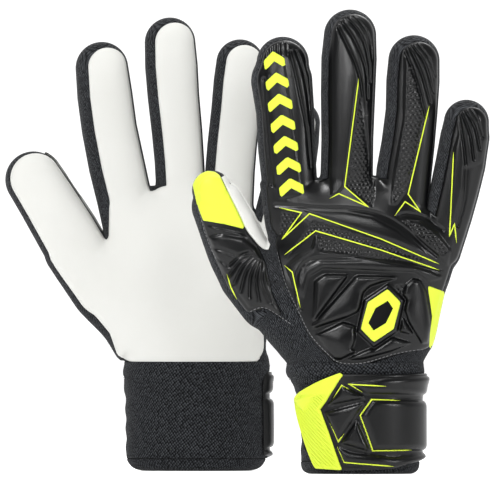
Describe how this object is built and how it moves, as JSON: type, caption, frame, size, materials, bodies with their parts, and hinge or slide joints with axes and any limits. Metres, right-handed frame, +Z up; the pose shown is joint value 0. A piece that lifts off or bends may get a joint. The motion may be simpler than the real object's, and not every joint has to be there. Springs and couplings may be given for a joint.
{
  "type": "goalkeeper gloves",
  "caption": "Pair of football goalkeeper gloves standing on their cuffs: white latex palms, black embossed backs, mesh gussets, finger spines and wrap-round wrist straps.",
  "frame": {"origin": "middle of the pair's footprint, on the surface the cuffs rest on", "axes": "+Z up along the fingers, +X across the hands towards the right glove's little finger, +Y away from the viewer; the left glove's palm and the right glove's back face -Y"},
  "size_m": [0.2816, 0.1756, 0.2708],
  "materials": {
    "latex": "smooth matte foam latex",
    "mesh": "stretch mesh",
    "back_foam": "satin embossed foam",
    "stay": "smooth",
    "knit": "elastic rib knit",
    "strap_foam": "satin embossed foam",
    "bright_tab": "satin ribbed",
    "hook_tape": "hook tape"
  },
  "bodies": {
    "left_hand": {"left_palm_latex": "latex", "left_backhand": "back_foam", "left_thumb_side_gusset": "mesh", "left_thumb_web_gusset": "mesh", "left_little_side_gusset": "mesh", "left_cuff": "knit", "left_cuff_hem": "knit"},
    "left_thumb": {"left_thumb_latex": "latex", "left_thumb_gusset": "mesh", "left_thumb_back": "back_foam", "left_thumb_stay": "stay"},
    "left_index": {"left_index_latex": "latex", "left_index_gusset": "mesh", "left_index_back": "back_foam", "left_index_stay": "stay"},
    "left_middle": {"left_middle_latex": "latex", "left_middle_gusset": "mesh", "left_middle_back": "back_foam", "left_middle_stay": "stay"},
    "left_ring": {"left_ring_latex": "latex", "left_ring_gusset": "mesh", "left_ring_back": "back_foam", "left_ring_stay": "stay"},
    "left_little": {"left_little_latex": "latex", "left_little_gusset": "mesh", "left_little_back": "back_foam", "left_little_stay": "stay"},
    "left_strap": {"left_strap": "strap_foam", "left_strap_tab": "bright_tab", "left_hook_patch": "hook_tape"},
    "right_hand": {"right_palm_latex": "latex", "right_backhand": "back_foam", "right_thumb_side_gusset": "mesh", "right_thumb_web_gusset": "mesh", "right_little_side_gusset": "mesh", "right_cuff": "knit", "right_cuff_hem": "knit"},
    "right_thumb": {"right_thumb_latex": "latex", "right_thumb_gusset": "mesh", "right_thumb_back": "back_foam", "right_thumb_stay": "stay"},
    "right_index": {"right_index_latex": "latex", "right_index_gusset": "mesh", "right_index_back": "back_foam", "right_index_stay": "stay"},
    "right_middle": {"right_middle_latex": "latex", "right_middle_gusset": "mesh", "right_middle_back": "back_foam", "right_middle_stay": "stay"},
    "right_ring": {"right_ring_latex": "latex", "right_ring_gusset": "mesh", "right_ring_back": "back_foam", "right_ring_stay": "stay"},
    "right_little": {"right_little_latex": "latex", "right_little_gusset": "mesh", "right_little_back": "back_foam", "right_little_stay": "stay"},
    "right_strap": {"right_strap": "strap_foam", "right_strap_tab": "bright_tab", "right_hook_patch": "hook_tape"}
  },
  "joints": [
    {"name": "left_thumb_bend", "type": "hinge", "parent": "left_hand", "child": "left_thumb", "pos_m": [-0.10701, 0.06175, 0.1359], "axis": [0.8969, 0, 0.4423], "range_deg": [0, 50], "stiffness_Nm_per_rad": 0.04},
    {"name": "left_index_bend", "type": "hinge", "parent": "left_hand", "child": "left_index", "pos_m": [-0.07441, 0.06175, 0.174], "axis": [0.983, 0, 0.1837], "range_deg": [0, 75], "stiffness_Nm_per_rad": 0.04},
    {"name": "left_middle_bend", "type": "hinge", "parent": "left_hand", "child": "left_middle", "pos_m": [-0.04021, 0.06175, 0.1804], "axis": [0.9973, 0, 0.0741], "range_deg": [0, 75], "stiffness_Nm_per_rad": 0.04},
    {"name": "left_ring_bend", "type": "hinge", "parent": "left_hand", "child": "left_ring", "pos_m": [-0.01021, 0.06175, 0.1774], "axis": [0.9965, 0, -0.0835], "range_deg": [0, 75], "stiffness_Nm_per_rad": 0.04},
    {"name": "left_little_bend", "type": "hinge", "parent": "left_hand", "child": "left_little", "pos_m": [0.01779, 0.06175, 0.1598], "axis": [0.9818, 0, -0.1899], "range_deg": [0, 75], "stiffness_Nm_per_rad": 0.04},
    {"name": "left_strap_open", "type": "hinge", "parent": "left_hand", "child": "left_strap", "pos_m": [0.01549, 0.06075, 0.031], "axis": [0, 0, -1], "range_deg": [0, 100]},
    {"name": "right_glove_lift", "type": "slide", "parent": "left_hand", "child": "right_hand", "axis": [0, 0, 1], "range_m": [0, 0.3]},
    {"name": "right_thumb_bend", "type": "hinge", "parent": "right_hand", "child": "right_thumb", "pos_m": [-0.00731, -0.05825, 0.1325], "axis": [-0.9123, 0, -0.4095], "range_deg": [0, 50], "stiffness_Nm_per_rad": 0.04},
    {"name": "right_index_bend", "type": "hinge", "parent": "right_hand", "child": "right_index", "pos_m": [0.02329, -0.05825, 0.1763], "axis": [-0.9975, 0, -0.071], "range_deg": [0, 75], "stiffness_Nm_per_rad": 0.04},
    {"name": "right_middle_bend", "type": "hinge", "parent": "right_hand", "child": "right_middle", "pos_m": [0.05809, -0.05825, 0.1804], "axis": [-0.9999, 0, 0.0133], "range_deg": [0, 75], "stiffness_Nm_per_rad": 0.04},
    {"name": "right_ring_bend", "type": "hinge", "parent": "right_hand", "child": "right_ring", "pos_m": [0.09089, -0.05825, 0.1774], "axis": [-0.9961, 0, 0.0885], "range_deg": [0, 75], "stiffness_Nm_per_rad": 0.04},
    {"name": "right_little_bend", "type": "hinge", "parent": "right_hand", "child": "right_little", "pos_m": [0.12069, -0.05825, 0.1627], "axis": [-0.9881, 0, 0.1538], "range_deg": [0, 75], "stiffness_Nm_per_rad": 0.04},
    {"name": "right_strap_open", "type": "hinge", "parent": "right_hand", "child": "right_strap", "pos_m": [0.10489, -0.05725, 0.031], "axis": [0, 0, 1], "range_deg": [0, 100]}
  ]
}
